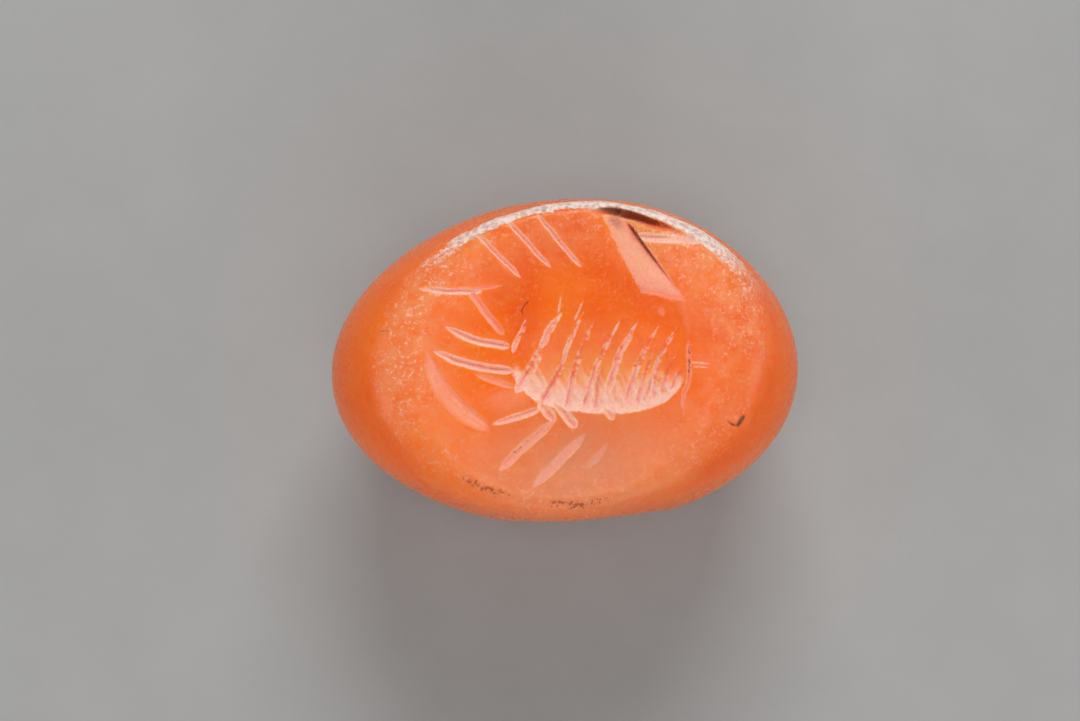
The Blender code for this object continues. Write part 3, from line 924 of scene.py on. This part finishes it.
def stone_colour(g, mm):
    """Clouds and bands inside the stone, painted glow and shade in places, a milky patch that is
    partly a painted reflection, painted glow on the flanks, and the haze of wear near its rim.
    """
    clouds = g.noise(mm, 0.16, 3.0, 0.5, 0.6)
    colour = g.mix(g.range(clouds, 0.35, 0.65), DEEP_ORANGE, BRIGHT_ORANGE)
    stretched = g.node("Mapping", {"Vector": mm, "Scale": (0.35, 0.9, 0.2)}).outputs[0]
    bands = g.noise(stretched, 0.5, 4.0, 0.6, 1.2)
    colour = g.mix(g.range(bands, 0.45, 0.8, 0.0, 0.5), colour, PALE_ORANGE)
    height = g.node("SeparateXYZ", {"Vector": mm}).outputs["Z"]
    # Painted glow: deeper red-orange on the flanks, for light shining through them
    colour = g.mix(g.range(height, *FLANK_GLOW_HEIGHTS), colour, FLANK_GLOW_ORANGE)
    # Painted glow of light in one place of the face, and painted shade beside it
    glow = g.calc("MULTIPLY", g.ball(mm, *GLOW_PLACE), 0.8)
    colour = g.mix(glow, colour, GLOW_ORANGE)
    shade = g.calc("MULTIPLY", g.ball(mm, *SHADE_PLACE), 0.7)
    colour = g.mix(shade, colour, DEEP_ORANGE)
    # Milky patch over the near half of the face: partly the stone's own cloud, partly a painted
    # reflection of the overhead light
    milk_and_sheen = g.ball(mm, *MILK_AND_SHEEN_PLACE)
    milk_and_sheen = g.calc("MULTIPLY", milk_and_sheen, g.range(g.noise(mm, 0.7, 3.0), 0.2, 0.7, 0.6, 1.0))
    colour = g.mix(g.calc("MULTIPLY", milk_and_sheen, 0.85), colour, MILK_AND_SHEEN)
    patches = g.range(g.noise(mm, 1.6, 5.0, 0.65), 0.3, 0.65, 0.3, 1.0)
    haze = g.calc("MULTIPLY", g.attribute("haze"), patches)
    return g.mix(g.calc("MULTIPLY", haze, 0.85), colour, HAZE)


def crest_mask(g, grain):
    """The bruised rim, broken up into chips by the grain."""
    crest = g.attribute("crest")
    chipping = g.calc("MULTIPLY", g.calc("SUBTRACT", grain, 0.5), 1.6)
    chipped = g.range(g.calc("ADD", crest, chipping), 0.35, 0.75)
    return g.calc("MULTIPLY", chipped, g.range(crest, 0.0, 0.2))


def speck_mask(g, mm):
    """White flecks of wear, in patches."""
    flecks = g.range(g.noise(mm, 6.5, 5.0, 0.75), 0.53, 0.62)
    patches = g.range(g.noise(mm, 1.8, 3.0), 0.38, 0.58, 0.3, 1.0)
    return g.calc("MULTIPLY", g.calc("MULTIPLY", flecks, patches), g.attribute("specks"), clamp=True)


def soil_mask(g, mm):
    """Crumbs of soil."""
    soil = g.attribute("soil")
    crumbs = g.calc("MULTIPLY", g.calc("SUBTRACT", g.noise(mm, 7.0, 4.0, 0.7), 0.5), 2.2)
    crumbled = g.range(g.calc("ADD", soil, crumbs), 0.45, 0.75)
    return g.calc("MULTIPLY", crumbled, g.range(soil, 0.0, 0.3))


def relief_bump(g, mm, frosted, specks):
    """Fine tooth, faint waves and pits, with specks lower and frosted cuts coarser."""
    fine = g.noise(mm, 14.0, 5.0, 0.7)
    broad = g.noise(mm, 2.0, 3.0, 0.5)
    cells = g.node("TexVoronoi", {"Vector": mm, "Scale": 1.6}).outputs["Distance"]
    pits = g.range(cells, 0.0, 0.09, -1.0, 0.0)
    relief = g.calc("ADD", g.calc("MULTIPLY", fine, 0.12), g.calc("MULTIPLY", broad, 0.35))
    relief = g.calc("ADD", relief, g.calc("MULTIPLY", pits, 0.5))
    relief = g.calc("ADD", relief, g.calc("MULTIPLY", specks, -0.4))
    relief = g.calc("ADD", relief, g.calc("MULTIPLY", g.calc("MULTIPLY", frosted, fine), 0.5))
    bump = g.node("Bump", {"Height": relief, "Distance": BUMP_HEIGHT * MM, "Strength": 0.8})
    return bump.outputs[0]


def carnelian():
    """Translucent orange chalcedony, frosted where it is cut or worn, with light and shade painted in
    places.
    """
    g = Graph("carnelian_worn")
    place = g.node("TexCoord").outputs["Object"]
    mm = g.node("VectorMath", {0: place, "Scale": 1.0 / MM}, operation="SCALE").outputs[0]
    grain = g.noise(mm, 9.0, 4.0, 0.65)

    colour = stone_colour(g, mm)
    # Painted light: cuts are paled towards orange to lift the deep red of their shade
    colour = g.mix(g.calc("MULTIPLY", g.attribute("cut"), 0.7), colour, CUT_PAINTED_LIGHT)
    coarse = g.range(grain, 0.25, 0.6, 0.55, 1.0)
    frosted = g.calc("MULTIPLY", g.attribute("frost"), coarse, clamp=True)
    colour = g.mix(frosted, colour, FROST_WHITE)
    crest = crest_mask(g, grain)
    chalk = g.mix(g.range(g.noise(mm, 5.0, 3.0), 0.35, 0.6), RIM_GREY, RIM_WHITE)
    colour = g.mix(crest, colour, chalk)
    specks = speck_mask(g, mm)
    colour = g.mix(g.calc("MULTIPLY", specks, 0.85), colour, SPECK_WHITE)
    soil = soil_mask(g, mm)
    colour = g.mix(g.calc("MULTIPLY", soil, 0.75), colour, SOIL_AND_SHADE_BROWN)
    # Painted shade: dark brown in the rim hollow, on the tail's steep right wall and in small chips
    uneven = g.range(grain, 0.3, 0.55, 0.7, 1.0)
    painted_shade = g.calc("MULTIPLY", g.attribute("painted_shade"), uneven, clamp=True)
    colour = g.mix(g.range(painted_shade, 0.1, 0.8), colour, SOIL_AND_SHADE_BROWN)
    bore = g.attribute("bore")
    drilled = g.calc("MULTIPLY", bore, g.range(g.noise(mm, 1.1, 4.0), 0.3, 0.7, 0.35, 0.8))
    colour = g.mix(drilled, colour, BORE_TONE)

    rough = g.range(g.noise(mm, 1.4, 4.0, 0.6), 0.3, 0.7, 0.2, 0.34)
    for mask, value in ((frosted, 0.6), (crest, 0.6), (specks, 0.65), (soil, 0.85), (bore, 0.62)):
        rough = g.node("Mix", {0: mask, 2: rough, 3: value}, data_type="FLOAT").outputs[0]

    white = g.calc("MAXIMUM", frosted, crest)
    clear = g.calc("SUBTRACT", 1.0, g.calc("MULTIPLY", white, FROST_OPACITY))
    g.feed(g.shader.inputs["Base Color"], colour)
    g.feed(g.shader.inputs["Roughness"], rough)
    g.feed(g.shader.inputs["Normal"], relief_bump(g, mm, frosted, specks))
    g.feed(g.shader.inputs["Subsurface Weight"], clear)
    g.shader.inputs["IOR"].default_value = CARNELIAN_IOR
    g.shader.inputs["Specular IOR Level"].default_value = GLOSS
    g.shader.inputs["Subsurface Radius"].default_value = LIGHT_REACH
    g.shader.inputs["Subsurface Scale"].default_value = MM
    return g.material


FLOOR_DARK = (0.33, 0.33, 0.325, 1.0)
FLOOR_LIGHT = (0.37, 0.37, 0.365, 1.0)
FLOOR_HALF = 1.5                   # half its side, in metres


def floor_paper():
    """Plain pale grey sheet with a faint tooth."""
    g = Graph("pale_floor")
    place = g.node("TexCoord").outputs["Object"]
    tooth = g.noise(place, 260.0, 4.0, 0.6)
    g.feed(g.shader.inputs["Base Color"], g.mix(tooth, FLOOR_DARK, FLOOR_LIGHT))
    g.shader.inputs["Roughness"].default_value = 0.85
    bump = g.node("Bump", {"Height": tooth, "Distance": 0.0003, "Strength": 0.25})
    g.feed(g.shader.inputs["Normal"], bump.outputs[0])
    return g.material


# The setting

# Each light's name, direction from the stone, distance and size in metres, and power in watts
SOFTBOXES = (
    ("key", (0.12, 0.85, 0.8), 0.35, (0.2, 0.12), 0.84),
    ("overhead", (-0.02, -0.14, 1.0), 0.4, (0.18, 0.15), 0.34),
    ("front", (0.1, -0.9, 0.5), 0.5, (0.5, 0.3), 1.0),
    ("left", (-1.0, -0.15, 0.32), 0.45, (0.3, 0.16), 0.44),
    ("right", (1.0, -0.1, 0.32), 0.45, (0.3, 0.16), 0.4),
)
SKY_STRENGTH = 0.12


def add_camera():
    """The photograph's view, almost straight down on the face."""
    target = Vector(CAMERA_TARGET) * MM
    back = Vector((
        math.sin(CAMERA_TURN) * math.cos(CAMERA_RISE),
        -math.cos(CAMERA_TURN) * math.cos(CAMERA_RISE),
        math.sin(CAMERA_RISE)))
    data = bpy.data.cameras.new("camera")
    data.lens = LENS
    data.sensor_width = SENSOR
    data.sensor_fit = "HORIZONTAL"
    data.clip_start = 0.005
    data.clip_end = 10.0
    camera = bpy.data.objects.new("camera", data)
    camera.location = target + back * CAMERA_DISTANCE * MM
    camera.rotation_euler = (-back).to_track_quat("-Z", "Y").to_euler()
    bpy.context.scene.collection.objects.link(camera)
    bpy.context.scene.camera = camera


def add_floor():
    """Plain sheet that the stone lies on."""
    mesh = bpy.data.meshes.new("floor")
    corners = [(x * FLOOR_HALF, y * FLOOR_HALF, 0.0) for x, y in ((-1, -1), (1, -1), (1, 1), (-1, 1))]
    mesh.from_pydata(corners, [], [(0, 1, 2, 3)])
    floor = bpy.data.objects.new("floor", mesh)
    mesh.materials.append(floor_paper())
    bpy.context.scene.collection.objects.link(floor)


def add_softbox(name, direction, distance, size, watts):
    """Soft rectangular light aimed at the stone."""
    data = bpy.data.lights.new(name, "AREA")
    data.shape = "RECTANGLE"
    data.size, data.size_y = size
    data.energy = watts
    light = bpy.data.objects.new(name, data)
    aim = Vector((0.0, 0.0, HEIGHT * MM))
    light.location = aim + Vector(direction).normalized() * distance
    light.rotation_euler = (aim - light.location).to_track_quat("-Z", "Y").to_euler()
    bpy.context.scene.collection.objects.link(light)


def add_lights():
    """Five softboxes and a faint even sky."""
    for softbox in SOFTBOXES:
        add_softbox(*softbox)
    world = bpy.data.worlds.new("studio")
    world.use_nodes = True
    sky = world.node_tree.nodes["Background"]
    sky.inputs["Color"].default_value = (1.0, 1.0, 1.0, 1.0)
    sky.inputs["Strength"].default_value = SKY_STRENGTH
    bpy.context.scene.world = world


def main():
    add_camera()
    stone = make_stone()
    stone.data.materials.clear()
    stone.data.materials.append(carnelian())
    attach(stone, "root")
    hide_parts("seal_stone")
    add_floor()
    add_lights()
    bpy.context.scene.view_settings.view_transform = "Standard"


main()
